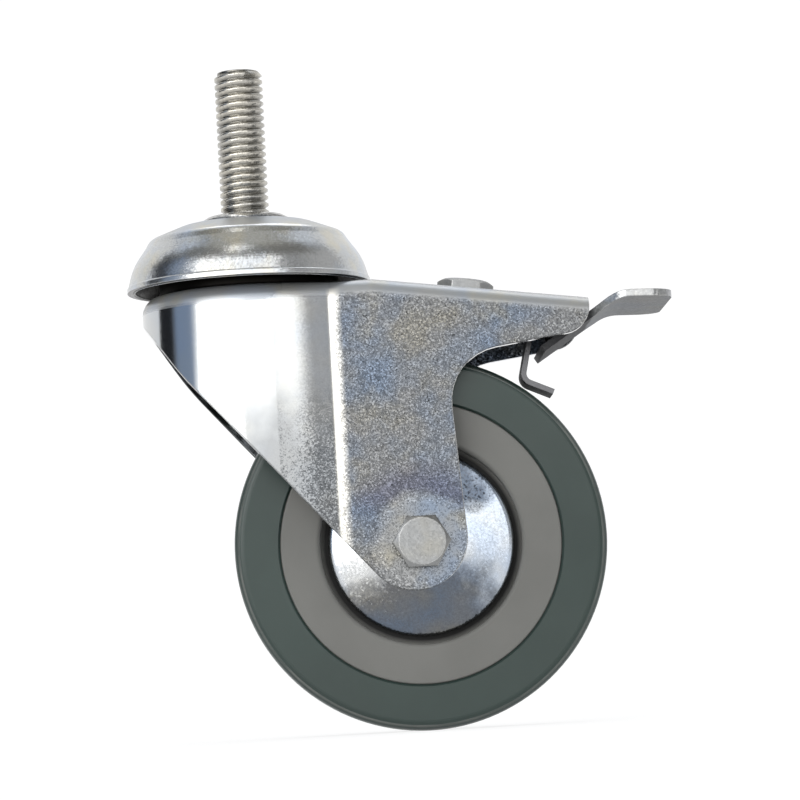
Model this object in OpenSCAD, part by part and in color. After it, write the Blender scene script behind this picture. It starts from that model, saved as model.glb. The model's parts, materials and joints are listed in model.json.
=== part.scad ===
// Braked swivel castor with a threaded stem, a pressed fork and a ball bearing wheel.
// Origin: swivel axis at the top face of the hexagon. +X points back to the pedal, +Z up.

/* [Stem] */
// Thread diameter of the stem
stem_d = 10; // [8:1:12]
// Length of the threaded shank above the hexagon
stem_len = 30; // [15:1:60]
// Width across flats of the hexagon
hex_af = 17; // [15:1:22]
// Height of the hexagon above the cap
hex_h = 1.3; // [1:0.1:3]
// Diameter of the kingpin below the hexagon
kingpin_d = 12; // [10:0.5:13]
// Diameter of the kingpin where it is peened through the lower race
peened_d = 9; // [7:0.5:9.5]

/* [Swivel head] */
// Outside diameter of the cap at its rim
cap_d = 49.7; // [47:0.1:56]
// Height of the cap from the hexagon to the rim
cap_h = 13.5; // [13:0.1:20]
// Sheet thickness of the cap
cap_t = 1.6; // [1.2:0.1:2]
// Height of the rolled lip at the rim
lip_h = 0.9; // [0.6:0.1:1.5]
// Gap between the rim of the cap and the fork
rim_gap = 1.1; // [0.5:0.1:2]
// Diameter of the upper balls
ball_d = 5; // [4:0.1:5.5]
// Pitch diameter of the upper balls
ball_pitch_d = 32; // [30:0.5:33]
// Number of upper balls
ball_count = 17; // [8:1:17]
// Diameter of the lower balls
low_ball_d = 4; // [3:0.1:4.2]
// Pitch diameter of the lower balls
low_ball_pitch_d = 21; // [20:0.5:22]
// Number of lower balls
low_ball_count = 13; // [6:1:13]

/* [Fork] */
// Sheet thickness of the fork
fork_t = 2.3; // [1.8:0.1:2.6]
// Outside radius of the round front
front_r = 22; // [20.5:0.1:23.5]
// Outside radius of the bend between the top plate and the walls
bend_r = 3.8; // [3.2:0.1:6]
// Angle by which the walls run in behind the round front
facet_angle = 18.5; // [10:0.5:25]
// Height of the front wall below the top plate
front_h = 5.7; // [3:0.1:10]
// Angle of the upper part of the diagonal front edge
front_steep = 56; // [50:0.5:62]
// Length of that steeper upper part
front_steep_len = 14.5; // [8:0.5:20]
// Radius of the leg ends
leg_r = 10.5; // [9:0.1:13]
// Distance of the middle of the leg ends in front of the axle
leg_ahead = 1.3; // [0:0.1:3]
// Height of the middle of the leg ends above the axle
leg_above = 0.9; // [0:0.1:2]
// Lean of the rear edge of the legs
leg_lean = 3.6; // [0:0.2:8]
// Distance from the swivel axis to where the nose starts to slope
nose_start = 25; // [24.5:0.5:32]
// Slope of the nose
nose_slope = 7.9; // [4:0.1:10]
// Distance from the swivel axis to the end of the nose
nose_reach = 68.1; // [65:0.1:76]
// Height of the nose at its end
nose_h = 6.7; // [6:0.1:10]
// Rise of the lower edge of the nose towards its end
nose_rise = 7.6; // [4:0.1:9]
// Corner radius at the lower end of the nose
nose_corner_r = 5.5; // [2:0.1:6]
// Fillet between the legs and the nose
heel_r = 11; // [4:0.5:13]

/* [Wheel] */
// Outside diameter of the tyre
wheel_d = 75; // [70:1:80]
// Width of the tyre
tread_w = 25; // [22:0.5:32]
// Radius of the tyre shoulders
shoulder_r = 2; // [1:0.1:3]
// Diameter at which the hub shows beside the tyre
hub_d = 56.4; // [50:0.1:60]
// Diameter of the lip of the hub recess
lip_d = 40.4; // [39:0.1:44]
// Depth of the hub faces behind the tyre sides
hub_inset = 0.3; // [0.1:0.1:1]
// Offset of the axle behind the swivel axis
trail = 32; // [30:0.5:34]
// Room between the tyre and the top plate of the fork
wheel_room = 15.8; // [14:0.1:20]
// Room between each side of the tyre and the fork
side_room = 2.9; // [2.5:0.1:5]

/* [Wheel bearings] */
// Outside diameter of the ball bearings
bearing_od = 22; // [21:0.5:24]
// Bore of the ball bearings
bearing_bore = 8; // [7.4:0.1:8.6]
// Width of the ball bearings
bearing_w = 7; // [6:0.5:8]
// Diameter of the bearing balls
race_ball_d = 3.97; // [3:0.01:4.2]
// Number of balls in each bearing
race_ball_count = 7; // [5:1:7]

/* [Axle] */
// Diameter of the axle bolt and the brake bolt
bolt_d = 6; // [5:0.5:6.4]
// Width across flats of bolt heads and nuts
bolt_af = 10; // [9:0.5:13]
// Height of the head of the axle bolt
head_h = 4; // [3:0.1:5]
// Height of the head of the brake bolt
brake_head_h = 3; // [2.5:0.1:5]
// Height of the plain nut
nut_h = 5; // [4:0.1:5.5]
// Height of the collar of the locking nut that holds the nylon ring
collar_h = 2; // [1.5:0.1:3]
// Diameter of the thread guards
guard_d = 37.6; // [35:0.1:38.5]
// Radius of the flat middle of the thread guards
guard_flat_r = 7.3; // [6:0.1:9]
// Sheet thickness of the thread guards
guard_t = 1; // [0.8:0.1:1.4]
// Thickness of the spacers beside the bearings
spacer_t = 1.5; // [1.2:0.1:2.5]

/* [Brake] */
// Distance from the swivel axis to the brake bolt
brake_bolt_x = 44; // [42:0.1:46]
// Thickness of the brake leaf
leaf_t = 1.1; // [0.8:0.1:1.4]
// Width of the brake leaf where it is clamped under the nose
leaf_tail_w = 18; // [14:0.5:22]
// Width of the tongue of the brake leaf
leaf_w = 10; // [8:0.5:14]
// Distance of the leaf corner from the tyre
shoe_gap = 1.9; // [1.5:0.02:2.5]
// Angle round the axle at which the leaf corner sits
shoe_angle = 55; // [53:0.5:57]
// Length of the foot of the leaf
shoe_len = 6.8; // [5:0.1:8]
// Sheet thickness of the pedal
pedal_t = 1.4; // [1.2:0.1:2]
// Width of the pedal between the cheeks
pedal_w = 26; // [24:0.5:28]
// Width of the foot pad
pad_w = 35; // [30:0.5:44]
// Length of the foot pad
pad_len = 11; // [8:0.5:20]
// Height of the foot pad above the nose end
pad_lift = 0.9; // [0:0.1:3]
// Distance from the nose end to the pedal pin
pin_back = 5.6; // [5:0.1:7]
// Diameter of the pedal pin
pin_d = 2.5; // [2:0.1:2.8]

/* [Hidden] */
$fn = 96;

// Clearances: pieces fixed on each other, turning pins, balls in their races, loose holes
fit_gap = 0.05;
pin_gap = 0.06;
race_gap = 0.15;
hole_gap = 0.15;
run_gap = 0.4;
// Plain overlap for cuts that run past a face
past = 1;
// Share of a ball's radius between its centre and the face beside its groove
groove_share = 0.55;
steps = 8;

// Heights on the swivel axis
cap_top = -hex_h;
rim_z = cap_top - cap_h;
fork_top = rim_z - rim_gap;
// Slope of the cap that rests on the upper balls, from the edge of its flat top to its ridge
cap_flat = [ball_pitch_d / 2 - 3, cap_top - 0.3];
cap_ridge = [cap_d / 2 - 5, cap_top - 3];
cap_fall = unit(cap_ridge - cap_flat);
lip_proud = 0.2;
cap_to_ball = cap_t + race_gap + ball_d / 2;
ball_z = cap_flat.y + ((ball_pitch_d / 2 - cap_flat.x) * cap_fall.y - cap_to_ball) / cap_fall.x;
crown_top = ball_z - groove_share * ball_d / 2;
crown_low = crown_top - fork_t;
low_ball_z = crown_low - groove_share * low_ball_d / 2;
race_top = low_ball_z - groove_share * low_ball_d / 2;
race_t = 2;
race_low = race_top - race_t;
crown_r = ball_pitch_d / 2 + ball_d / 2 - 0.2;
crown_bend_r = fork_t + 0.3;
front_bend_r = 60;
// Depth by which the flat walls cut into the round front
facet_in = 0.12;
// Amount by which their top bend is tighter than that of the round front
facet_tight = 0.3;

// Widths across the wheel
fork_in = tread_w / 2 + side_room;
fork_out = fork_in + fork_t;
guard_in = fork_in - guard_t;
bearing_out = guard_in - spacer_t;
bearing_in = bearing_out - bearing_w;
hub_face = tread_w / 2 - hub_inset;

// Axle and wheel
axle_z = fork_top - wheel_room - wheel_d / 2;
axle = [trail, axle_z];
race_pitch_r = (bearing_od + bearing_bore) / 4;
ring_gap_r = 0.35 * race_ball_d;
boss_wall = 2.2;
boss_r = bearing_od / 2 + boss_wall;
key_r = hub_d / 2 + 2;
key_w = 10;
key_taper = 1.2;
hub_edge_r = 0.4;
lip_edge_r = 1;
crown_drop = 0.2;

// Nose: heights of its top face and of its ceiling, and where its edges meet
function nose_top(x) = fork_top - max(0, x - nose_start) * tan(nose_slope);
function ceiling(x) = nose_top(x) - fork_t / cos(nose_slope);
nose_low = nose_top(nose_reach) - nose_h;

// Brake: pin, leaf corners and pedal corners, in the middle plane
pin_at = [nose_reach - pin_back, ceiling(nose_reach - pin_back) - pin_d / 2 - 1.2];
leaf_foot = axle + (wheel_d / 2 + shoe_gap) * [cos(shoe_angle), sin(shoe_angle)];
leaf_knee_x = leaf_foot.x + 3.1;
leaf_drop = (leaf_t / 2 + fit_gap) / cos(nose_slope);
leaf_knee = [leaf_knee_x, ceiling(leaf_knee_x) - leaf_drop];
leaf_tail_x = brake_bolt_x - 6.5;
leaf_tail = [leaf_tail_x, ceiling(leaf_tail_x) - leaf_drop];
leaf_tip = leaf_foot + shoe_len * [cos(-24.3), sin(-24.3)];
leaf_bend_r = 2;
pedal_rest_gap = 0.5;
neck_len = 6;
neck_r = 8;
pad_z = nose_top(nose_reach) + pad_lift - pedal_t / 2;
pad_start = [nose_reach + neck_len, pad_z];
pad_tip = [pad_start.x + pad_len, pad_z - 0.3];
pedal_neck = [nose_reach, ceiling(nose_reach) - pedal_rest_gap - 0.58 * pedal_t];
pedal_slope = unit(pad_start - pedal_neck);
pedal_toe_x = leaf_knee_x + 0.9;
pedal_toe = pedal_neck - pedal_slope * (pedal_neck.x - pedal_toe_x) / pedal_slope.x;
ear_r = pin_d / 2 + 0.95;

// Points and lines
function unit(v) = v / norm(v);
function left(v) = [-v.y, v.x];
function turned(v, a) = [v.x * cos(a) - v.y * sin(a), v.x * sin(a) + v.y * cos(a)];
function turn(a, b, c) = atan2(cross(b - a, c - b), (b - a) * (c - b));
// Where the line through p along d meets the line through q along e
function meet(p, d, q, e) = p + d * cross(q - p, e) / cross(d, e);
// Points of one rounded corner at b, on the line that lies o to the left of the path a-b-c
function corner(a, b, c, r, o) =
    let (d = unit(b - a), t = turn(a, b, c), s = sign(t))
    let (from = b - d * r * tan(abs(t) / 2), centre = from + left(d) * s * r)
    [for (k = [0:steps]) centre - turned(left(d), t * k / steps) * s * (r - s * o)];
// A path with rounded corners, moved o to its left
function path(pts, radii, o = 0) = [
    pts[0] + left(unit(pts[1] - pts[0])) * o,
    for (i = [1:len(pts) - 2]) each corner(pts[i - 1], pts[i], pts[i + 1], radii[i - 1], o),
    pts[len(pts) - 1] + left(unit(pts[len(pts) - 1] - pts[len(pts) - 2])) * o
];
function backwards(list) = [for (i = [len(list) - 1:-1:0]) list[i]];
// An outline drawn above the line y = 0, closed by its mirror image below
function both_halves(pts) = concat(pts, [for (p = backwards(pts)) if (p.y > 0) [p.x, -p.y]]);

// Section of a bent sheet that lies between two lines beside a path
module sheet_section(pts, radii, from, to) {
    polygon(concat(path(pts, radii, from), backwards(path(pts, radii, to))));
}

// Stand a section drawn in X and Z upright and give it a width along Y
module across(w) {
    rotate([90, 0, 0]) translate([0, 0, -w / 2]) linear_extrude(w) children();
}

// Turn a piece drawn round Z so that it sits on the axle, its top towards +Y
module on_axle() {
    translate([trail, 0, axle_z]) rotate([-90, 0, 0]) children();
}

// A piece drawn on the +Y half of the axle, on the nut side or the head side
module at_side(side) {
    if (side == "nut") {
        children();
    } else {
        mirror([0, 1, 0]) children();
    }
}

module ring(r_in, r_out, z0, z1) {
    translate([0, 0, z0]) difference() {
        cylinder(r = r_out, h = z1 - z0);
        translate([0, 0, -past]) cylinder(r = r_in, h = z1 - z0 + 2 * past);
    }
}

// Space of a ball track: a round ring
module track(pitch_r, r, z) {
    translate([0, 0, z]) rotate_extrude() translate([pitch_r, 0]) circle(r);
}

module ball_row(d, pitch_r, count, z) {
    for (i = [0:count - 1]) {
        rotate([0, 0, i * 360 / count]) translate([pitch_r, 0, z]) sphere(d = d);
    }
}

// Hexagon from z = 0 up, its top corners cut off at 30 degrees
module hexagon(af, h) {
    corner_r = af / 2 / cos(30);
    flat_r = 0.92 * af / 2;
    intersection() {
        cylinder(r = corner_r, h = h, $fn = 6);
        rotate_extrude() polygon([
            [0, -past], [corner_r + past, -past],
            [corner_r + past, h - (corner_r + past - flat_r) * tan(30)], [flat_r, h], [0, h]
        ]);
    }
}

// Bolt along Z with its head above z = 0 and its shank below
module bolt(len, head) {
    tip = 0.1 * bolt_d;
    hexagon(bolt_af, head);
    rotate_extrude() polygon([
        [0, -len], [bolt_d / 2 - tip, -len], [bolt_d / 2, tip - len], [bolt_d / 2, past], [0, past]
    ]);
}

// Put a piece on the sloping top of the nose at the brake bolt
module on_nose() {
    translate([brake_bolt_x, 0, nose_top(brake_bolt_x)]) rotate([0, nose_slope, 0]) children();
}

module stem() {
    chamfer = 0.1 * stem_d;
    hex_turn = 34;
    shoulder = race_top;
    head_r = peened_d / 2 + 2;
    head_t = 1.8;
    color("silver") union() {
        rotate_extrude() polygon([
            [0, -hex_h], [stem_d / 2, -hex_h], [stem_d / 2, stem_len - chamfer],
            [stem_d / 2 - chamfer, stem_len], [0, stem_len]
        ]);
        translate([0, 0, -hex_h]) rotate([0, 0, hex_turn]) hexagon(hex_af, hex_h);
        rotate_extrude() polygon([
            [0, race_low - head_t], [0.6 * head_r, race_low - head_t], [head_r, race_low - 0.4 * head_t],
            [head_r, race_low], [peened_d / 2, race_low], [peened_d / 2, shoulder],
            [kingpin_d / 2, shoulder], [kingpin_d / 2, -hex_h], [0, -hex_h]
        ]);
    }
}

// Domed cup: nearly flat top, ridge, skirt and a rolled lip at the rim
module top_cap() {
    rim_r = cap_d / 2;
    outer = [
        [kingpin_d / 2 + hole_gap, cap_top],
        cap_flat,
        cap_ridge,
        cap_ridge + [0.9, -1.5],
        [rim_r - 1.3, cap_top - 8.4],
        [rim_r - lip_proud, rim_z + lip_h + lip_proud],
        [rim_r, rim_z + lip_h],
        [rim_r, rim_z]
    ];
    color("lightgray") rotate_extrude() sheet_section(outer, [8, 2, 2.5, 12, 0.3, 0.2], 0, -cap_t);
}

module upper_balls() {
    color("gainsboro") ball_row(ball_d, ball_pitch_d / 2, ball_count, ball_z);
}

module lower_balls() {
    color("gainsboro") ball_row(low_ball_d, low_ball_pitch_d / 2, low_ball_count, low_ball_z);
}

module lower_race() {
    race_r = low_ball_pitch_d / 2 + low_ball_d / 2 + 1;
    color("darkgray") difference() {
        ring(peened_d / 2 + fit_gap, race_r, race_low, race_top);
        track(low_ball_pitch_d / 2, low_ball_d / 2 + race_gap, low_ball_z);
    }
}

// Outside form of the fork without its crown, or its hollow when inset by the sheet thickness
module fork_form(inset) {
    r = front_r - inset;
    b = bend_r - inset;
    half = fork_out - inset;
    top = fork_top - inset;
    low = axle_z - 2 * leg_r;
    away = r - facet_in;
    foot = away * sin(facet_angle);
    facet_len = (away * cos(facet_angle) - half) / tan(facet_angle) + fork_t;
    // Round front, with flat walls that run in from it to the cheeks
    intersection() {
        union() {
            rotate_extrude() wall_section(r, b, top, low);
            translate([foot, -r, low]) cube([facet_len, 2 * r, top - low]);
        }
        flat_wall(away, b - facet_tight, top, low);
        mirror([0, 1, 0]) flat_wall(away, b - facet_tight, top, low);
    }
    // Cheeks, top plate and sloping nose
    intersection() {
        channel(nose_reach + past, half, b, top, low);
        translate([nose_start, 0, fork_top]) rotate([0, nose_slope, 0])
            translate([-nose_reach, 0, -fork_top]) channel(2 * nose_reach, half, b, top, 2 * low);
    }
}

// Wall and top with a rounded edge, from the middle out to w
module wall_section(w, b, top, low) {
    translate([0, low]) square([w, top - b - low]);
    translate([0, top - 2 * b]) square([w - b, 2 * b]);
    translate([w - b, top - b]) circle(b);
}

// All that lies inside one flat wall, which turns inwards by the facet angle
module flat_wall(w, b, top, low) {
    rotate([0, 0, -facet_angle]) translate([-2 * w, 0, 0]) rotate([90, 0, 90]) linear_extrude(5 * w) {
        wall_section(w, b, top, low);
        translate([-3 * w, low]) square([4 * w - b, top - low]);
    }
}

// Inverted U along X
module channel(len, half, b, top, low) {
    rotate([90, 0, 90]) linear_extrude(len) {
        wall_section(half, b, top, low);
        mirror([1, 0]) wall_section(half, b, top, low);
    }
}

// Side view of the fork: diagonal front edge, legs round the axle, heel and nose
module fork_outline() {
    front = [-front_r, fork_top - front_h];
    steep = [cos(front_steep), -sin(front_steep)];
    bend = front + front_steep_len * steep;
    leg_end = axle + [-leg_ahead, leg_above];
    away = leg_end - bend;
    touch_r = leg_r - 0.02;
    slant_angle = atan2(away.y, away.x) - asin(touch_r / norm(away));
    slant = [cos(slant_angle), sin(slant_angle)];
    rear = [sin(leg_lean), -cos(leg_lean)];
    front_touch = leg_end - touch_r * left(slant);
    rear_touch = leg_end + touch_r * left(rear);
    edge = [cos(nose_rise), sin(nose_rise)];
    nose_end = [nose_reach, nose_low];
    heel = meet(rear_touch, rear, nose_end, edge);
    sky = cap_top;
    translate(leg_end) circle(leg_r);
    polygon(concat(
        [[-front_r - past, sky]],
        path([front - past * steep / steep.x, bend, front_touch], [front_bend_r]),
        [leg_end],
        path([rear_touch, heel, nose_end, [nose_reach, sky]], [heel_r, nose_corner_r])
    ));
}

// Raised crown that carries the ball tracks, or its hollow when inset
module crown_form(inset) {
    base = fork_top - fork_t - inset;
    rotate_extrude() wall_section(crown_r - inset, crown_bend_r - inset, crown_top - inset, base);
}

module fork() {
    pin_depth = 0.55 * fork_t;
    color("silver") difference() {
        intersection() {
            difference() {
                union() {
                    fork_form(0);
                    crown_form(0);
                }
                fork_form(fork_t);
                crown_form(fork_t);
            }
            across(4 * front_r) fork_outline();
        }
        track(ball_pitch_d / 2, ball_d / 2 + race_gap, ball_z);
        track(low_ball_pitch_d / 2, low_ball_d / 2 + race_gap, low_ball_z);
        translate([0, 0, crown_low - past]) cylinder(r = kingpin_d / 2 + run_gap, h = fork_t + 2 * past);
        on_axle() cylinder(r = bolt_d / 2 + hole_gap, h = 4 * fork_out, center = true);
        on_nose() cylinder(r = bolt_d / 2 + hole_gap, h = 4 * fork_t, center = true);
        translate([pin_at.x, 0, pin_at.y]) rotate([90, 0, 0])
            cylinder(r = pin_d / 2 + fit_gap, h = 2 * (fork_in + pin_depth), center = true);
    }
}

module axle_bolt() {
    tail = 1;
    color("silver") on_axle() translate([0, 0, -fork_out]) rotate([180, 0, 0])
        bolt(2 * fork_out + nut_h + collar_h + tail, head_h);
}

// Locking nut: hexagon with a round collar that holds the nylon ring
module axle_nut() {
    color("silver") on_axle() translate([0, 0, fork_out]) difference() {
        union() {
            hexagon(bolt_af, nut_h);
            translate([0, 0, nut_h - past]) cylinder(d = 0.88 * bolt_af, h = collar_h + past);
        }
        translate([0, 0, -past]) cylinder(r = bolt_d / 2 + fit_gap, h = nut_h + collar_h + 2 * past);
        translate([0, 0, nut_h]) cylinder(d = 0.76 * bolt_af, h = collar_h - 0.4);
    }
}

module nut_insert() {
    color("royalblue") on_axle() ring(bolt_d / 2 + fit_gap, 0.38 * bolt_af - fit_gap,
        fork_out + nut_h, fork_out + nut_h + collar_h - 0.4);
}

module axle_sleeve() {
    color("darkgray") on_axle()
        ring(bolt_d / 2 + hole_gap, bearing_bore / 2 - fit_gap, -guard_in, guard_in);
}

// Shallow pressed disc with a rolled rim
module guard(side) {
    face = [
        [bolt_d / 2 + hole_gap, fork_in],
        [guard_flat_r, fork_in],
        [guard_d / 2 - 0.5, hub_face + 0.5],
        [guard_d / 2 - 0.2, hub_face - 1.1]
    ];
    color("lightsteelblue") at_side(side) on_axle()
        rotate_extrude() sheet_section(face, [9, 1.2], 0, -guard_t);
}

module spacer(side) {
    color("darkgray") at_side(side) on_axle() ring(bearing_bore / 2 + fit_gap,
        race_pitch_r - ring_gap_r - 0.3, bearing_out, guard_in);
}

module inner_ring(side) {
    color("gainsboro") at_side(side) on_axle() difference() {
        ring(bearing_bore / 2, race_pitch_r - ring_gap_r, bearing_in, bearing_out);
        track(race_pitch_r, race_ball_d / 2 + race_gap, (bearing_in + bearing_out) / 2);
    }
}

module outer_ring(side) {
    color("gainsboro") at_side(side) on_axle() difference() {
        ring(race_pitch_r + ring_gap_r, bearing_od / 2, bearing_in, bearing_out);
        track(race_pitch_r, race_ball_d / 2 + race_gap, (bearing_in + bearing_out) / 2);
    }
}

module bearing_balls(side) {
    color("white") at_side(side) on_axle()
        ball_row(race_ball_d, race_pitch_r, race_ball_count, (bearing_in + bearing_out) / 2);
}

// Ring with a pocket for each ball, inside the gap between the bearing rings
module cage(side) {
    middle = (bearing_in + bearing_out) / 2;
    half_w = 0.7 * race_ball_d / 2;
    half_r = ring_gap_r - run_gap;
    color("tan") at_side(side) on_axle() difference() {
        ring(race_pitch_r - half_r, race_pitch_r + half_r, middle - half_w, middle + race_ball_d / 2 + 0.5);
        ball_row(race_ball_d + 2 * race_gap, race_pitch_r, race_ball_count, middle);
    }
}

// Moulded hub: rim with a rib that keys the tyre, recess round a boss, seats for the bearings
module hub() {
    floor_y = bearing_out - 3.4;
    boss_y = bearing_out - 0.6;
    seat_r = bearing_od / 2 + fit_gap;
    bore_r = bearing_od / 2 - 1.6;
    half = [
        [key_r, 0], [key_r, key_w / 2], [hub_d / 2, key_w / 2 + key_taper],
        each path([[hub_d / 2, key_w], [hub_d / 2, hub_face], [lip_d / 2, hub_face], [lip_d / 2, floor_y]],
            [hub_edge_r, lip_edge_r]),
        [boss_r + 1, floor_y], [boss_r, boss_y], [seat_r, boss_y],
        [seat_r, bearing_in], [bore_r, bearing_in]
    ];
    color("darkgray") on_axle() rotate_extrude() polygon(both_halves(half));
}

// Tyre moulded over the rib of the hub
module tyre() {
    side_y = tread_w / 2;
    seat_r = hub_d / 2 + fit_gap;
    edge = 0.4;
    half = [
        [key_r + fit_gap, 0], [key_r + fit_gap, key_w / 2 + fit_gap],
        [seat_r, key_w / 2 + key_taper + fit_gap], [seat_r, side_y - edge], [seat_r + edge, side_y],
        each path([[seat_r + 2 * edge, side_y], [wheel_d / 2 - crown_drop, side_y],
            [wheel_d / 2, side_y / 2], [wheel_d / 2, 0]], [shoulder_r, 8])
    ];
    color("darkslategray") on_axle() rotate_extrude() polygon(both_halves(half));
}

module brake_bolt() {
    color("silver") on_nose() bolt(fork_t + leaf_t + nut_h + 1, brake_head_h);
}

module brake_nut() {
    seat = fork_t + leaf_t + 2 * fit_gap;
    color("silver") on_nose() translate([0, 0, -seat]) rotate([180, 0, 0]) difference() {
        hexagon(bolt_af, nut_h);
        translate([0, 0, -past]) cylinder(r = bolt_d / 2 + fit_gap, h = nut_h + 2 * past);
    }
}

// Spring strip: broad tail clamped under the nose, narrow tongue with its foot beside the tyre
module brake_leaf() {
    shoulder_x = brake_bolt_x + 5.5;
    plan = both_halves(path([
        [leaf_tail_x - past, leaf_tail_w / 2], [shoulder_x, leaf_tail_w / 2],
        [shoulder_x + 3.5, leaf_w / 2], [leaf_tip.x + past, leaf_w / 2]
    ], [2, 2]));
    color("dimgray") difference() {
        intersection() {
            across(leaf_tail_w + past) sheet_section([leaf_tail, leaf_knee, leaf_foot, leaf_tip],
                [leaf_bend_r, leaf_bend_r], leaf_t / 2, -leaf_t / 2);
            translate([0, 0, axle_z]) linear_extrude(-axle_z) polygon(plan);
        }
        on_nose() cylinder(r = bolt_d / 2 + hole_gap, h = 8 * fork_t, center = true);
    }
}

module pedal_pin() {
    pin_len = 2 * (fork_in + 0.5 * fork_t);
    color("gray") translate([pin_at.x, 0, pin_at.y]) rotate([90, 0, 0])
        cylinder(d = pin_d, h = pin_len, center = true);
}

// Stamped lever: sloping plate with two ears on the pin, widening to the foot pad
module brake_pedal() {
    waist_x = pedal_neck.x + 1;
    flare = [
        [pedal_toe.x - past, pedal_w / 2], [waist_x, pedal_w / 2], [pad_start.x + 0.5, pad_w / 2],
        [pad_tip.x, pad_w / 2], [pad_tip.x, 0]
    ];
    side = path(flare, [4, 4, 5]);
    plan = both_halves(side);
    plate = [pedal_toe, pad_start, pad_tip];
    foot = pedal_toe + pedal_slope * ((pin_at - pedal_toe) * pedal_slope);
    ear_run = ear_r * pedal_slope;
    foot_run = (ear_r + 1) * pedal_slope;
    color("silver") difference() {
        union() {
            intersection() {
                across(pad_w + past) sheet_section(plate, [neck_r], pedal_t / 2, -pedal_t / 2);
                translate([0, 0, nose_low - 3 * nose_h]) linear_extrude(6 * nose_h) polygon(plan);
            }
            for (s = [-1, 1]) {
                translate([0, s * (pedal_w - pedal_t) / 2, 0]) across(pedal_t) {
                    translate(pin_at) circle(ear_r);
                    polygon([pin_at + ear_run, pin_at - ear_run, foot - foot_run, foot + foot_run]);
                }
            }
        }
        translate([pin_at.x, 0, pin_at.y]) rotate([90, 0, 0])
            cylinder(r = pin_d / 2 + pin_gap, h = 2 * pedal_w, center = true);
    }
}

stem();
top_cap();
upper_balls();
lower_balls();
lower_race();
fork();
axle_bolt();
axle_nut();
nut_insert();
axle_sleeve();
guard("head");  // head_side_guard
guard("nut");  // nut_side_guard
spacer("head");  // head_side_spacer
spacer("nut");  // nut_side_spacer
inner_ring("head");  // head_side_inner_ring
inner_ring("nut");  // nut_side_inner_ring
outer_ring("head");  // head_side_outer_ring
outer_ring("nut");  // nut_side_outer_ring
bearing_balls("head");  // head_side_bearing_balls
bearing_balls("nut");  // nut_side_bearing_balls
cage("head");  // head_side_cage
cage("nut");  // nut_side_cage
hub();
tyre();
brake_bolt();
brake_nut();
brake_leaf();
pedal_pin();
brake_pedal();
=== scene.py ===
"""Looks of the braked threaded castor: zinc-plated pressings, rolled thread, rubber tyre, grey hub."""

import json
import math

import bmesh
import bpy
from mathutils import Matrix, Vector

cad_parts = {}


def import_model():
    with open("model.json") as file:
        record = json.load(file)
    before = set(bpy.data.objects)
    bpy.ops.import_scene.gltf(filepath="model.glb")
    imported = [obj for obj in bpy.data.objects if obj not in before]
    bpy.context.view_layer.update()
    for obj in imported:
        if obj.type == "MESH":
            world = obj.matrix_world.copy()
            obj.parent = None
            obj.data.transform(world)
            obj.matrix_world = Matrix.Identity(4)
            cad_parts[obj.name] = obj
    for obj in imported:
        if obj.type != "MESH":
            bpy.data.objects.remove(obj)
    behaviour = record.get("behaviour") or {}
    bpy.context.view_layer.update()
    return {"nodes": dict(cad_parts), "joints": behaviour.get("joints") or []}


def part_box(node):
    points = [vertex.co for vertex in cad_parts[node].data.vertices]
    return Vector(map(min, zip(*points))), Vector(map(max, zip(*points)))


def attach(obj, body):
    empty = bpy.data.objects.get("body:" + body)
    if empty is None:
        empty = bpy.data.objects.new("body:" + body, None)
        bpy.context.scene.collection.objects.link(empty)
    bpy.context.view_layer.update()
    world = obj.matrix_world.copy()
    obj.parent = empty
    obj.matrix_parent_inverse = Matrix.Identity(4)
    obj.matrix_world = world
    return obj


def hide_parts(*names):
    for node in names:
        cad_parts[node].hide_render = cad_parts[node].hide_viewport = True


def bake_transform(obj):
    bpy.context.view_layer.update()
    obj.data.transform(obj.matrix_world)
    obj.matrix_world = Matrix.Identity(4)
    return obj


MM = 0.001

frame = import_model()
nodes = frame["nodes"]
joints = {j["name"]: j for j in frame["joints"]}

# Places taken from the frame
AXLE = Vector(joints["wheel_spin"]["pos_m"])
PIN = Vector(joints["pedal_tilt"]["pos_m"])
STEM_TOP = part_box("stem")[1].z
FLOOR_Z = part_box("tyre")[0].z
TYRE_R = AXLE.z - FLOOR_Z
HUB_GAP_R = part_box("head_side_guard")[1].x - AXLE.x

# Fork: height of its flat top, and where the turned-in walls meet the cheeks
FORK_TOP = -15.9 * MM
CREASE_X = 16.06 * MM

# Stem thread, M10 x 1.5
PITCH = 1.5 * MM
CREST_R = 4.93 * MM
ROOT_R = 4.26 * MM
THREAD_COLUMNS = 72

# Camera: a long lens in front of the head side, a little below the axle
CAMERA_AT = Vector((15.6, -680.0, -97.8)) * MM
CAMERA_AIM = Vector((29.6, 0.0, -39.3)) * MM
CAMERA_UP = Vector((0.0558, 0.0, 0.9984))
SENSOR = 36.0
LENS = 150.3

# Finish values that several pieces share; GREASE_AND_SHADE is grease and painted shade in the gaps under
# things
SPECK_SCALE = 2600
GREASE_AND_SHADE = (0.012, 0.011, 0.010)


# Node helpers

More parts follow.
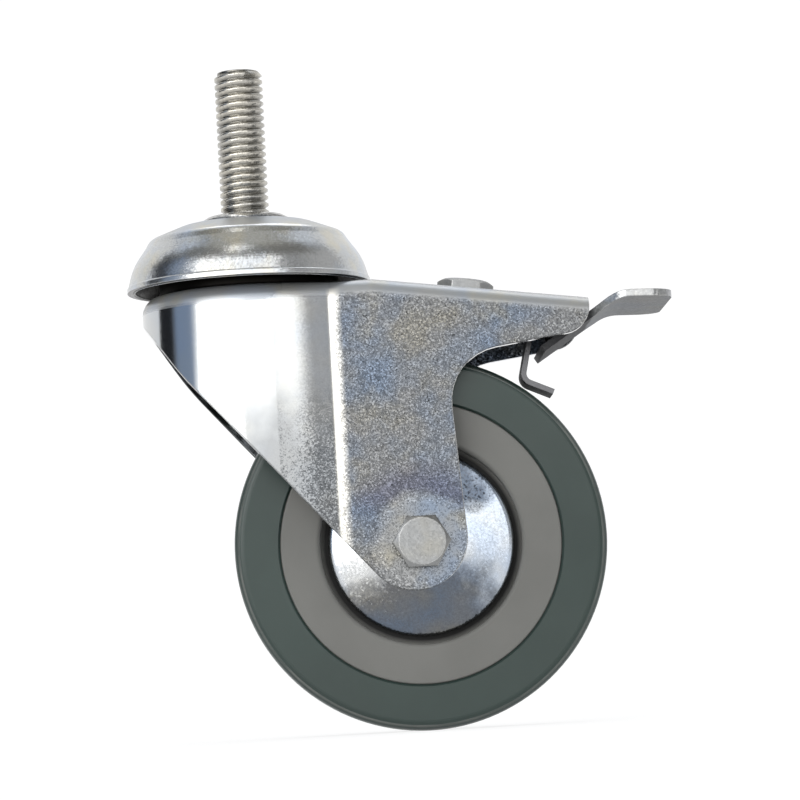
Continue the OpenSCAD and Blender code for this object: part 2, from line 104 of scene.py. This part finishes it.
class Shader:
    """A material's or the world's node tree, with short calls for the nodes used here."""

    def __init__(self, name, kind="Material"):
        group = bpy.data.worlds if kind == "World" else bpy.data.materials
        self.material = group.new(name)
        self.material.use_nodes = True
        self.tree = self.material.node_tree
        self.tree.nodes.clear()
        self.out = self.tree.nodes.new("ShaderNodeOutput" + kind)
        self.coord = self.tree.nodes.new("ShaderNodeTexCoord")
        self.place = self.coord.outputs["Object"]

    def node(self, kind, inputs=None, **settings):
        made = self.tree.nodes.new(kind)
        for key, value in settings.items():
            setattr(made, key, value)
        for key, value in (inputs or {}).items():
            if isinstance(value, bpy.types.NodeSocket):
                self.tree.links.new(value, made.inputs[key])
            else:
                made.inputs[key].default_value = value
        return made

    def noise(self, scale, detail=2.0, rough=0.5, vector=None):
        inputs = {"Vector": vector or self.place, "Scale": scale, "Detail": detail,
                  "Roughness": rough}
        return self.node("ShaderNodeTexNoise", inputs).outputs["Fac"]

    def voronoi(self, scale, vector=None):
        inputs = {"Vector": vector or self.place, "Scale": scale}
        return self.node("ShaderNodeTexVoronoi", inputs)

    def fit(self, value, low, high, to_low=0.0, to_high=1.0):
        inputs = {"Value": value, "From Min": low, "From Max": high, "To Min": to_low, "To Max": to_high}
        return self.node("ShaderNodeMapRange", inputs).outputs["Result"]

    def math(self, operation, a, b=0.0):
        made = self.node("ShaderNodeMath", operation=operation)
        for socket, value in zip(made.inputs, (a, b)):
            if isinstance(value, bpy.types.NodeSocket):
                self.tree.links.new(value, socket)
            else:
                socket.default_value = value
        return made.outputs[0]

    def mix(self, factor, a, b):
        made = self.node("ShaderNodeMix", data_type="RGBA")
        for socket, value in ((made.inputs[0], factor), (made.inputs[6], a), (made.inputs[7], b)):
            if isinstance(value, bpy.types.NodeSocket):
                self.tree.links.new(value, socket)
            else:
                socket.default_value = (*value, 1.0) if isinstance(value, tuple) else value
        return made.outputs[2]

    def speck(self):
        """Fine pits of the plating."""
        return self.noise(SPECK_SCALE, 3, 0.7)

    def from_axle(self):
        """Distance from the wheel's axis."""
        x, _, z = self.split(self.place)[:3]
        return self.length(self.math("SUBTRACT", x, AXLE.x), self.math("SUBTRACT", z, AXLE.z))

    def bump(self, height, strength, distance):
        inputs = {"Height": height, "Strength": strength, "Distance": distance}
        return self.node("ShaderNodeBump", inputs).outputs["Normal"]

    def split(self, vector):
        return self.node("ShaderNodeSeparateXYZ", {"Vector": vector}).outputs

    def window(self, value, a, b, c, d):
        """0 below a, 1 from b to c, 0 above d."""
        return self.math("MULTIPLY", self.fit(value, a, b), self.fit(value, c, d, 1.0, 0.0))

    def both(self, *values):
        product = values[0]
        for value in values[1:]:
            product = self.math("MULTIPLY", product, value)
        return product

    def length(self, a, b):
        return self.math("SQRT", self.math("ADD", self.math("MULTIPLY", a, a), self.math("MULTIPLY", b, b)))

    def vector(self, operation, a, b=None, scale=None):
        made = self.node("ShaderNodeVectorMath", operation=operation)
        for socket, value in zip(made.inputs, (a, b)):
            if isinstance(value, bpy.types.NodeSocket):
                self.tree.links.new(value, socket)
            elif value is not None:
                socket.default_value = value
        if isinstance(scale, bpy.types.NodeSocket):
            self.tree.links.new(scale, made.inputs["Scale"])
        elif scale is not None:
            made.inputs["Scale"].default_value = scale
        return made.outputs[0]

    def rounded(self, radius):
        return self.node("ShaderNodeBevel", {"Radius": radius}, samples=4).outputs[0]

    def rubbed_and_highlit(self, rounded):
        """1 along the edges, convex and concave alike: partly plating polished by handling, partly a
        painted edge highlight.
        """
        flat = self.node("ShaderNodeNewGeometry").outputs["Normal"]
        made = self.node("ShaderNodeVectorMath", {0: rounded, 1: flat}, operation="DOT_PRODUCT")
        return self.fit(made.outputs["Value"], 0.99, 0.90)

    def crystals(self, size, amount, rounded):
        """Normal tipped a little differently in every crystal of the plating."""
        color = self.voronoi(1 / size).outputs["Color"]
        tip = self.vector("SCALE", self.vector("SUBTRACT", color, (0.5, 0.5, 0.5)), scale=amount)
        return self.vector("NORMALIZE", self.vector("ADD", rounded, tip))

    def finish(self, **inputs):
        names = {key.replace("_", " "): value for key, value in inputs.items()}
        shader = self.node("ShaderNodeBsdfPrincipled", names)
        self.tree.links.new(shader.outputs[0], self.out.inputs["Surface"])
        return self.material


def dimmed(share, color):
    return tuple(share * c for c in color)


def zinc_color(s, dark=1.0, blue=1.0, straw=1.0):
    """Blue-white zinc with a wandering blue and straw bloom."""
    bloom = s.noise(55, 3)
    streak = s.noise(130, 4)
    plain = dimmed(dark, (0.60, 0.61, 0.61))
    cool = s.mix(s.fit(bloom, 0.44, 0.60, 0.0, 0.8 * blue), plain, dimmed(dark, (0.44, 0.55, 0.72)))
    return s.mix(s.fit(streak, 0.50, 0.68, 0.0, 0.55 * straw), cool, dimmed(dark, (0.70, 0.65, 0.51)))


def plated(name, rough, grain, dark=1.0, blue=1.0, straw=1.0, edge=0.25 * MM):
    """Zinc plating of one even grain over the whole piece."""
    s = Shader(name)
    speck = s.speck()
    color = zinc_color(s, dark, blue, straw)
    shade = s.mix(s.fit(speck, 0.42, 0.72, 0.0, 0.5 * grain), color, dimmed(dark, (0.24, 0.25, 0.27)))
    rounded = s.rounded(edge)
    # Edges painted pale: partly plating rubbed by handling, partly a painted highlight along every edge
    final = s.mix(s.math("MULTIPLY", s.rubbed_and_highlit(rounded), 0.6), shade, (0.85, 0.85, 0.83))
    return s.finish(Base_Color=final, Metallic=1.0, Roughness=s.fit(speck, 0.3, 0.7, rough, rough + 0.12),
                    Normal=s.crystals(0.4 * MM, 0.5 * grain, rounded))


def fork_zinc():
    """Drawn round front bright and smooth, cheeks matt with coarse crystals and darker, partly as a painted
    dark reflection, grease and painted shade under the cap.
    """
    s = Shader("zinc_fork")
    x, y, z = s.split(s.place)[:3]
    normal = s.split(s.coord.outputs["Normal"])
    facing = s.math("ABSOLUTE", normal[1])
    bend = s.window(normal[2], 0.03, 0.2, 0.85, 0.98)
    top = s.fit(normal[2], 0.9, 0.99)
    wander = s.fit(s.noise(140, 3), 0.3, 0.7, -0.9 * MM, 0.9 * MM)
    cheek = s.both(s.fit(s.math("ADD", x, wander), CREASE_X + 0.2 * MM, CREASE_X + 2.2 * MM),
                   s.fit(facing, 0.95, 0.998))
    low = s.fit(s.math("ADD", z, wander), -38 * MM, -56 * MM, 0.0, 0.11)
    around = s.math("ADD", s.from_axle(), wander)
    worn = s.both(s.fit(around, 10.5 * MM, 7.5 * MM), cheek)
    band = s.window(around, 9 * MM, 11 * MM, 12.5 * MM, 17 * MM)
    blue_darkening = s.both(band, s.fit(z, AXLE.z + 5.2 * MM, AXLE.z + 9.2 * MM), cheek)
    rough_skin = s.math("MAXIMUM", s.math("MAXIMUM", cheek, low), s.math("MULTIPLY", top, 0.7))
    grain = s.both(rough_skin, s.fit(worn, 0.0, 1.0, 1.0, 0.25))
    # Painted highlight: a pale line along the crease where the turned-in walls meet the cheeks
    line = s.window(x, CREASE_X - 0.6 * MM, CREASE_X + 0.2 * MM, CREASE_X + 0.9 * MM, CREASE_X + 2.6 * MM)
    speck = s.speck()
    smooth = s.mix(bend, zinc_color(s, 1.0, 0.25, 0.3), zinc_color(s, 0.74, 0.5, 1.0))
    # Painted shade: the round front darker towards the bottom, where its bright reflection ends
    ragged = s.math("ADD", z, s.fit(s.noise(90, 3), 0.3, 0.7, -6 * MM, 6 * MM))
    shaded = s.mix(s.fit(ragged, -34 * MM, -50 * MM, 0.0, 0.6), smooth, (0.14, 0.145, 0.145))
    # Cheeks and top darker: partly the matt plating, partly a painted dark reflection
    matt = s.mix(s.math("MAXIMUM", cheek, top), shaded, zinc_color(s, 0.34, 1.2, 1.0))
    stained = s.mix(s.math("MULTIPLY", blue_darkening, 0.55), matt, (0.075, 0.08, 0.14))
    color = s.mix(worn, stained, zinc_color(s, 0.36, 1.3, 1.2))
    crease_highlight = s.mix(s.both(line, s.fit(facing, 0.8, 0.95, 0.0, 0.75)), color, (0.93, 0.90, 0.82))
    pitted = s.mix(s.both(grain, s.fit(speck, 0.42, 0.72, 0.0, 0.85)), crease_highlight, (0.09, 0.095, 0.11))
    # Grease and painted shade: the fork's top near black where it lies under the cap
    grease_and_shade = s.both(s.fit(z, FORK_TOP - 0.3 * MM, FORK_TOP - 0.05 * MM),
                    s.fit(s.length(x, y), 24.5 * MM, 23 * MM))
    rounded = s.rounded(0.5 * MM)
    # The flat walls are drawn a little round where they leave the front
    swell = s.both(s.window(x, 2 * MM, 6.5 * MM, 8 * MM, 12.5 * MM), s.fit(facing, 0.85, 0.93))
    forward = s.node("ShaderNodeVectorTransform", {0: (-0.045, 0.0, 0.0)}, vector_type="VECTOR",
                     convert_from="OBJECT", convert_to="WORLD").outputs[0]
    curved = s.vector("NORMALIZE", s.vector("ADD", rounded, s.vector("SCALE", forward, scale=swell)))
    # Sheared edges: a painted shade line along the edges facing the front and a painted highlight along
    # those facing the back; the plating is also rubbed there
    ahead = s.split(s.node("ShaderNodeVectorTransform", {0: rounded}, vector_type="NORMAL",
                           convert_from="WORLD", convert_to="OBJECT").outputs[0])[0]
    edge = s.mix(s.fit(ahead, 0.3, 0.6), (0.05, 0.05, 0.05), (0.95, 0.95, 0.92))
    polished_and_edge_lit = s.mix(s.math("MULTIPLY", s.rubbed_and_highlit(rounded), 0.8), pitted, edge)
    final = s.mix(grease_and_shade, polished_and_edge_lit, GREASE_AND_SHADE)
    dull_and_shade = s.math("MULTIPLY", s.math("MAXIMUM", grease_and_shade, bend), 0.34)
    rough = s.math("MAXIMUM", s.fit(grain, 0.0, 1.0, 0.12, 0.36), dull_and_shade)
    return s.finish(Base_Color=final, Metallic=s.fit(bend, 0.0, 1.0, 1.0, 0.45), Roughness=rough,
                    Normal=s.crystals(0.25 * MM, s.fit(grain, 0.0, 1.0, 0.008, 0.7), curved))


def cap_zinc():
    """Smooth spun cap, dark inside with grease and painted shade."""
    s = Shader("zinc_cap")
    x, y = s.split(s.place)[:2]
    nx, ny, nz = s.split(s.coord.outputs["Normal"])[:3]
    outward = s.math("ADD", s.math("MULTIPLY", nx, x), s.math("MULTIPLY", ny, y))
    # Grease and painted shade: the cap's inside and undersides near black
    inside = s.math("MAXIMUM", s.fit(outward, -2 * MM, -4 * MM), s.fit(nz, -0.3, -0.6))
    speck = s.speck()
    crown = s.fit(nz, 0.80, 0.93)
    color = s.mix(crown, zinc_color(s, 0.95, 0.5, 1.1), zinc_color(s, 0.78, 0.5, 1.3))
    shade = s.mix(s.fit(speck, 0.45, 0.75, 0.0, 0.35), color, (0.30, 0.30, 0.30))
    final = s.mix(inside, shade, GREASE_AND_SHADE)
    return s.finish(Base_Color=final, Metallic=1.0, Roughness=s.fit(crown, 0.0, 1.0, 0.24, 0.38),
                    Normal=s.crystals(0.35 * MM, 0.06, s.rounded(0.25 * MM)))


def guard_zinc():
    """Pressed dish, bright at the sides and darker blue above and below the axle: a painted reflection."""
    s = Shader("zinc_guard")
    height = s.math("SUBTRACT", s.split(s.place)[2], AXLE.z)
    wander = s.fit(s.noise(140, 3), 0.3, 0.7, -0.2, 0.2)
    upright = s.math("ADD", s.math("DIVIDE", height, s.math("ADD", s.from_axle(), 0.1 * MM)), wander)
    # Painted reflection: darker blue above and below the axle, bright zinc at the sides
    blue_darkening = s.fit(s.math("ABSOLUTE", upright), 0.4, 0.75)
    speck = s.speck()
    color = s.mix(blue_darkening, zinc_color(s, 1.0, 0.7, 0.4), zinc_color(s, 0.27, 1.2, 0.7))
    pit = s.math("MULTIPLY", s.fit(blue_darkening, 0.0, 1.0, 0.15, 0.75), s.fit(speck, 0.42, 0.7))
    rounded = s.rounded(0.25 * MM)
    return s.finish(Base_Color=s.mix(pit, color, (0.10, 0.105, 0.12)), Metallic=1.0,
                    Roughness=s.fit(speck, 0.3, 0.7, 0.16, 0.28),
                    Normal=s.crystals(0.35 * MM, s.fit(blue_darkening, 0.0, 1.0, 0.06, 0.3), rounded))


def stem_zinc():
    """Rolled thread with painted shade in its roots, over a duller hexagon."""
    s = Shader("zinc_stem")
    x, y, z = s.split(s.place)[:3]
    # Painted shade: the thread roots darkened
    root_shade = s.both(s.fit(s.length(x, y), ROOT_R + 0.55 * MM, ROOT_R + 0.05 * MM), s.fit(z, 0.0, 0.5 * MM))
    hexagon = s.fit(s.length(x, y), CREST_R + 0.2 * MM, CREST_R + 0.6 * MM)
    speck = s.noise(1500, 3, 0.7)
    shank = s.mix(s.fit(s.noise(120, 3), 0.4, 0.65), (0.62, 0.59, 0.52), (0.50, 0.49, 0.46))
    color = s.mix(hexagon, shank, (0.44, 0.435, 0.42))
    shade = s.mix(s.fit(speck, 0.4, 0.75, 0.0, 0.5), color, (0.18, 0.175, 0.16))
    final = s.mix(s.fit(root_shade, 0.0, 1.0, 0.0, 0.65), shade, (0.075, 0.07, 0.06))
    return s.finish(Base_Color=final, Metallic=1.0, Roughness=s.fit(speck, 0.3, 0.7, 0.20, 0.32),
                    Normal=s.crystals(0.4 * MM, 0.12, s.rounded(0.12 * MM)))


def pedal_zinc():
    """Plated pad, its undersides dull and painted darker as shade, with the arm near black round its pin
    from grease and painted shade.
    """
    s = Shader("zinc_pedal")
    x = s.split(s.place)[0]
    nz = s.split(s.coord.outputs["Normal"])[2]
    wander = s.fit(s.noise(200, 3), 0.3, 0.7, -0.5 * MM, 0.5 * MM)
    # Grease and painted shade: the arm dark round its pin, in the gap under the fork's nose; undersides
    # painted darker as shade
    pin_grease_and_shade = s.fit(s.math("ADD", x, wander), PIN.x + 7.8 * MM, PIN.x + 6 * MM, 0.0, 0.95)
    dull_and_shade = s.math("MAXIMUM", pin_grease_and_shade, s.fit(nz, -0.3, -0.7, 0.0, 0.6))
    speck = s.speck()
    plate = s.mix(s.fit(nz, 0.5, 0.9), zinc_color(s, 0.75, 0.4, 0.5), zinc_color(s, 0.42, 0.6, 0.8))
    shade = s.mix(s.fit(speck, 0.42, 0.72, 0.0, 0.5), plate, (0.2, 0.2, 0.21))
    return s.finish(Base_Color=s.mix(dull_and_shade, shade, (0.030, 0.030, 0.032)),
                    Metallic=s.fit(dull_and_shade, 0.0, 0.95, 1.0, 0.0), Roughness=s.fit(dull_and_shade, 0.0, 1.0, 0.28, 0.75),
                    Normal=s.crystals(0.4 * MM, 0.2, s.rounded(0.3 * MM)))


def hub_plastic():
    """Grey moulded hub, dark with old grease and painted shade in the gap round the bearing guard."""
    s = Shader("grey_hub_plastic")
    around = s.from_axle()
    # Painted shade, partly grease: the hub near black in the recess round the guard
    gap_grease_and_shade = s.fit(around, HUB_GAP_R + 1.6 * MM, HUB_GAP_R + 0.7 * MM, 0.0, 0.95)
    cloud = s.noise(45, 4)
    shade = s.mix(s.fit(cloud, 0.35, 0.65), (0.272, 0.269, 0.250), (0.240, 0.238, 0.221))
    return s.finish(Base_Color=s.mix(gap_grease_and_shade, shade, (0.008, 0.008, 0.008)),
                    Roughness=s.fit(cloud, 0.3, 0.7, 0.42, 0.54), Specular_IOR_Level=0.15,
                    Normal=s.bump(s.noise(1800, 2), 0.1, 0.06 * MM))


def tyre_rubber():
    """Grey-green rubber with a fine moulding line round each shoulder, painted lighter as a scuff and a
    highlight.
    """
    s = Shader("grey_green_rubber")
    around = s.from_axle()
    line = s.window(around, TYRE_R - 1.25 * MM, TYRE_R - 1.05 * MM, TYRE_R - 0.95 * MM, TYRE_R - 0.7 * MM)
    cloud = s.noise(45, 4)
    tint = s.mix(s.fit(cloud, 0.35, 0.65), (0.028, 0.051, 0.043), (0.022, 0.040, 0.034))
    dusty = s.mix(s.fit(s.noise(16, 3), 0.45, 0.7, 0.0, 0.5), tint, (0.041, 0.053, 0.047))
    # Painted highlight, partly scuffing: the moulding line painted lighter
    scuff_and_highlight = s.both(line, s.fit(s.noise(90, 3), 0.35, 0.6, 0.15, 0.7))
    grit = s.bump(s.noise(1800, 2), 0.08, 0.06 * MM)
    moulding = {"Height": line, "Strength": 0.6, "Distance": 0.2 * MM, "Normal": grit}
    ridge = s.node("ShaderNodeBump", moulding)
    return s.finish(Base_Color=s.mix(scuff_and_highlight, dusty, (0.24, 0.25, 0.23)),
                    Roughness=s.fit(cloud, 0.3, 0.7, 0.30, 0.42), Specular_IOR_Level=0.5,
                    Normal=ridge.outputs["Normal"])


def spring_steel():
    """Blackened strip with brighter sheared edges."""
    s = Shader("spring_steel")
    edge = s.fit(s.math("ABSOLUTE", s.split(s.coord.outputs["Normal"])[1]), 0.7, 0.9)
    mark = s.noise(900, 2)
    black = s.mix(s.fit(mark, 0.3, 0.7), (0.022, 0.023, 0.024), (0.012, 0.012, 0.013))
    return s.finish(Base_Color=s.mix(edge, black, (0.13, 0.13, 0.135)), Metallic=edge,
                    Roughness=s.fit(edge, 0.0, 1.0, 0.6, 0.34),
                    Normal=s.crystals(0.3 * MM, 0.08, s.rounded(0.2 * MM)))


def steel(name, color, rough):
    """Plain bearing or spring steel with fine turning marks."""
    s = Shader(name)
    mark = s.noise(900, 2)
    shade = s.mix(s.fit(mark, 0.3, 0.7), color, dimmed(0.75, color))
    return s.finish(Base_Color=shade, Metallic=1.0, Roughness=s.fit(mark, 0.3, 0.7, rough, rough + 0.12),
                    Normal=s.bump(mark, 0.06, 0.05 * MM))


def moulded(name, color, dark, rough, grain, spec=0.5):
    """Rubber or plastic: slightly mottled, finely grained."""
    s = Shader(name)
    cloud = s.noise(45, 4)
    grit = s.noise(1800, 2)
    shade = s.mix(s.fit(cloud, 0.35, 0.65), color, dark)
    return s.finish(Base_Color=shade, Roughness=s.fit(cloud, 0.3, 0.7, rough, rough + 0.12),
                    Specular_IOR_Level=spec, Normal=s.bump(grit, grain, 0.06 * MM))


# Mesh helpers

def mesh_piece(name, bm, material, body=None, smooth_angle=35):
    """Turn a bmesh into an object that rides on a body."""
    bmesh.ops.recalc_face_normals(bm, faces=bm.faces)
    mesh = bpy.data.meshes.new(name)
    bm.to_mesh(mesh)
    bm.free()
    piece = bpy.data.objects.new(name, mesh)
    bpy.context.scene.collection.objects.link(piece)
    mesh.materials.append(material)
    mesh.set_sharp_from_angle(angle=math.radians(smooth_angle))
    for polygon in mesh.polygons:
        polygon.use_smooth = True
    if body:
        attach(piece, body)
    return piece


def node_copy(name):
    """The welded mesh of a CAD node as a bmesh."""
    bm = bmesh.new()
    bm.from_mesh(nodes[name].data)
    bmesh.ops.remove_doubles(bm, verts=bm.verts, dist=0.002 * MM)
    return bm


def cut_below(bm, z, keep_low):
    """Cut a closed bmesh at height z, keep one side and close the cut."""
    cut = bmesh.ops.bisect_plane(
        bm, geom=bm.verts[:] + bm.edges[:] + bm.faces[:], plane_co=(0, 0, z), plane_no=(0, 0, 1),
        clear_outer=keep_low, clear_inner=not keep_low,
    )
    edges = [e for e in cut["geom_cut"] if isinstance(e, bmesh.types.BMEdge)]
    bmesh.ops.holes_fill(bm, edges=edges, sides=0)


def thread():
    """Threaded shank: one helical profile swept from the hexagon to the chamfered tip."""
    profile = [(0.0, ROOT_R), (0.14, ROOT_R), (0.42, CREST_R), (0.72, CREST_R)]
    rows = len(profile)
    turns = math.ceil(STEM_TOP / PITCH) + 3
    tip_r = ROOT_R - 0.1 * MM
    bm = bmesh.new()
    grid = []
    for i in range(turns * rows):
        share, r = profile[i % rows]
        line = []
        for j in range(THREAD_COLUMNS):
            angle = 2 * math.pi * j / THREAD_COLUMNS
            z = (i // rows + share + j / THREAD_COLUMNS - 2) * PITCH
            radius = min(r, tip_r + max(0.0, STEM_TOP - z))
            line.append(bm.verts.new((radius * math.cos(angle), radius * math.sin(angle), z)))
        grid.append(line)
    for i in range(len(grid) - 1):
        for j in range(THREAD_COLUMNS):
            last = j == THREAD_COLUMNS - 1
            up = rows if last else 0
            k = 0 if last else j + 1
            if i + 1 + up < len(grid):
                bm.faces.new((grid[i][j], grid[i + up][k], grid[i + 1 + up][k], grid[i + 1][j]))
    cut_below(bm, 0.0, keep_low=False)
    cut_below(bm, STEM_TOP, keep_low=True)
    return bm


def joined(*parts):
    """One bmesh out of several."""
    whole = parts[0]
    for part in parts[1:]:
        mesh = bpy.data.meshes.new("part")
        part.to_mesh(mesh)
        part.free()
        whole.from_mesh(mesh)
        bpy.data.meshes.remove(mesh)
    return whole


# Materials

ZINC_FORK = fork_zinc()
ZINC_CAP = cap_zinc()
ZINC_GUARD = guard_zinc()
ZINC_BOLT = plated("zinc_bolt", 0.34, 0.22, 0.46, 0.1, 0.6, 0.4 * MM)
ZINC_PEDAL = pedal_zinc()
STEM_STEEL = stem_zinc()
BEARING_STEEL = steel("bearing_steel", (0.62, 0.62, 0.63), 0.16)
SLEEVE_STEEL = steel("sleeve_steel", (0.45, 0.45, 0.46), 0.32)
SPRING_STEEL = spring_steel()
CAGE_BRASS = steel("cage_metal", (0.55, 0.50, 0.38), 0.3)
RUBBER = tyre_rubber()
HUB_GREY = hub_plastic()
NYLON = moulded("blue_nylon", (0.05, 0.10, 0.35), (0.04, 0.08, 0.28), 0.4, 0.05)

FINISHES = {
    "top_cap": ZINC_CAP,
    "upper_balls": BEARING_STEEL,
    "lower_balls": BEARING_STEEL,
    "lower_race": SLEEVE_STEEL,
    "fork": ZINC_FORK,
    "axle_bolt": ZINC_BOLT,
    "axle_nut": ZINC_BOLT,
    "nut_insert": NYLON,
    "axle_sleeve": SLEEVE_STEEL,
    "head_side_guard": ZINC_GUARD,
    "nut_side_guard": ZINC_GUARD,
    "head_side_spacer": SLEEVE_STEEL,
    "nut_side_spacer": SLEEVE_STEEL,
    "head_side_inner_ring": BEARING_STEEL,
    "nut_side_inner_ring": BEARING_STEEL,
    "head_side_outer_ring": BEARING_STEEL,
    "nut_side_outer_ring": BEARING_STEEL,
    "head_side_bearing_balls": BEARING_STEEL,
    "nut_side_bearing_balls": BEARING_STEEL,
    "head_side_cage": CAGE_BRASS,
    "nut_side_cage": CAGE_BRASS,
    "hub": HUB_GREY,
    "tyre": RUBBER,
    "brake_bolt": ZINC_BOLT,
    "brake_nut": ZINC_BOLT,
    "pedal_pin": SLEEVE_STEEL,
    "brake_pedal": ZINC_PEDAL,
}
for name, material in FINISHES.items():
    nodes[name].data.materials.clear()
    nodes[name].data.materials.append(material)


# Pieces that replace CAD nodes

def stem_piece():
    lower = node_copy("stem")
    cut_below(lower, 0.0, keep_low=True)
    piece = mesh_piece("threaded_stem", joined(lower, thread()), STEM_STEEL, "head", 30)
    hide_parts("stem")


def leaf_piece():
    """The spring strip, copied from its CAD node; the strip is bent at its upper corner."""
    bm = node_copy("brake_leaf")
    piece = mesh_piece("brake_leaf_spring", bm, SPRING_STEEL)
    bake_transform(piece)
    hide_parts("brake_leaf")


stem_piece()
leaf_piece()


# Stage: white sweep, soft boxes, camera

def stage_material():
    """White to the camera and in reflections, and still takes a soft shadow."""
    s = Shader("white_stage")
    path = s.node("ShaderNodeLightPath").outputs
    seen = s.math("MAXIMUM", path["Is Camera Ray"], s.math("MAXIMUM", path["Is Glossy Ray"],
                                                           path["Is Transmission Ray"]))
    matt = s.node("ShaderNodeBsdfDiffuse", {"Color": (0.3, 0.3, 0.3, 1)})
    glow = s.node("ShaderNodeEmission", {"Color": (1, 1, 1, 1), "Strength": 0.82})
    both = s.node("ShaderNodeAddShader")
    s.tree.links.new(matt.outputs[0], both.inputs[0])
    s.tree.links.new(glow.outputs[0], both.inputs[1])
    plain = s.node("ShaderNodeBsdfDiffuse", {"Color": (0.8, 0.8, 0.8, 1)})
    pick = s.node("ShaderNodeMixShader", {0: seen})
    s.tree.links.new(plain.outputs[0], pick.inputs[1])
    s.tree.links.new(both.outputs[0], pick.inputs[2])
    s.tree.links.new(pick.outputs[0], s.out.inputs["Surface"])
    return s.material


def sweep():
    """Floor that curves up into the backdrop."""
    half, front, back, rise = 2.2, -1.2, 0.9, 2.2
    bend, steps = 0.5, 12
    line = [(front, 0.0)]
    for k in range(steps + 1):
        a = math.pi / 2 * k / steps
        line.append((back - bend + bend * math.sin(a), bend - bend * math.cos(a)))
    line.append((back, rise))
    bm = bmesh.new()
    rows = [[bm.verts.new((x, y, FLOOR_Z + z)) for x in (-half, half)] for y, z in line]
    for low, high in zip(rows, rows[1:]):
        bm.faces.new((low[0], low[1], high[1], high[0]))
    mesh_piece("sweep", bm, stage_material(), smooth_angle=60)


def soft_box(name, at, size, power, aim=(0.02, 0, -0.05)):
    lamp = bpy.data.lights.new(name, "AREA")
    lamp.shape = "RECTANGLE"
    lamp.size, lamp.size_y = size
    lamp.energy = power
    holder = bpy.data.objects.new(name, lamp)
    holder.location = at
    holder.rotation_euler = (Vector(aim) - Vector(at)).to_track_quat("-Z", "Y").to_euler()
    bpy.context.scene.collection.objects.link(holder)
    return holder


def camera():
    data = bpy.data.cameras.new("photo_camera")
    data.sensor_width = SENSOR
    data.lens = LENS
    holder = bpy.data.objects.new("photo_camera", data)
    back = (CAMERA_AT - CAMERA_AIM).normalized()
    right = CAMERA_UP.cross(back).normalized()
    up = back.cross(right)
    holder.matrix_world = Matrix.Translation(CAMERA_AT) @ Matrix((right, up, back)).transposed().to_4x4()
    bpy.context.scene.collection.objects.link(holder)
    bpy.context.scene.camera = holder


def world():
    """Plain grey light, white behind, and a studio for the metal to mirror: panel, dark gap, grey room."""
    s = Shader("studio", "World")
    x, y, z = s.split(s.coord.outputs["Generated"])[:3]
    left, ahead = s.math("MULTIPLY", x, -1.0), s.math("MULTIPLY", y, -1.0)
    turn = s.math("MULTIPLY", s.math("ARCTAN2", left, ahead), math.degrees(1))
    rise = s.math("MULTIPLY", s.math("ARCSINE", z), math.degrees(1))
    room = s.mix(s.fit(turn, -50, -80), (0.40, 0.405, 0.415), (0.58, 0.58, 0.58))
    cool = s.mix(s.window(turn, 58, 62, 86, 92), room, (0.26, 0.33, 0.45))
    dark = s.mix(s.window(turn, 84, 92, 116, 124), cool, (0.02, 0.021, 0.024))
    lit = s.mix(s.window(turn, -35.5, -33, 48, 66), dark, (2.0, 2.0, 2.0))
    over = s.mix(s.fit(rise, 38, 46), lit, (0.20, 0.195, 0.18))
    crown = s.mix(s.fit(rise, 56, 74), over, (0.54, 0.53, 0.48))
    behind = s.mix(s.both(s.fit(y, -0.05, 0.12), s.fit(rise, 40, 55)), crown, (0.80, 0.86, 0.95))
    path = s.node("ShaderNodeLightPath").outputs
    light = s.mix(path["Is Glossy Ray"], (0.46, 0.47, 0.49), behind)
    seen = s.math("MAXIMUM", path["Is Camera Ray"], path["Is Transmission Ray"])
    sky = s.node("ShaderNodeBackground", {"Color": s.mix(seen, light, (1.0, 1.0, 1.0))})
    s.tree.links.new(sky.outputs[0], s.out.inputs["Surface"])
    bpy.context.scene.world = s.material


sweep()
soft_box("key_box", (-0.55, -0.85, 0.15), (0.9, 0.9), 4.2)
soft_box("right_box", (0.9, -0.45, 0.35), (0.35, 0.8), 1.6).visible_glossy = False
soft_box("spot_box", (-0.12, -0.46, 0.85), (0.22, 0.22), 0.26)
soft_box("top_box", (0.1, 0.4, 0.9), (0.8, 0.4), 1.7)
world()
camera()
bpy.context.scene.view_settings.view_transform = "Standard"
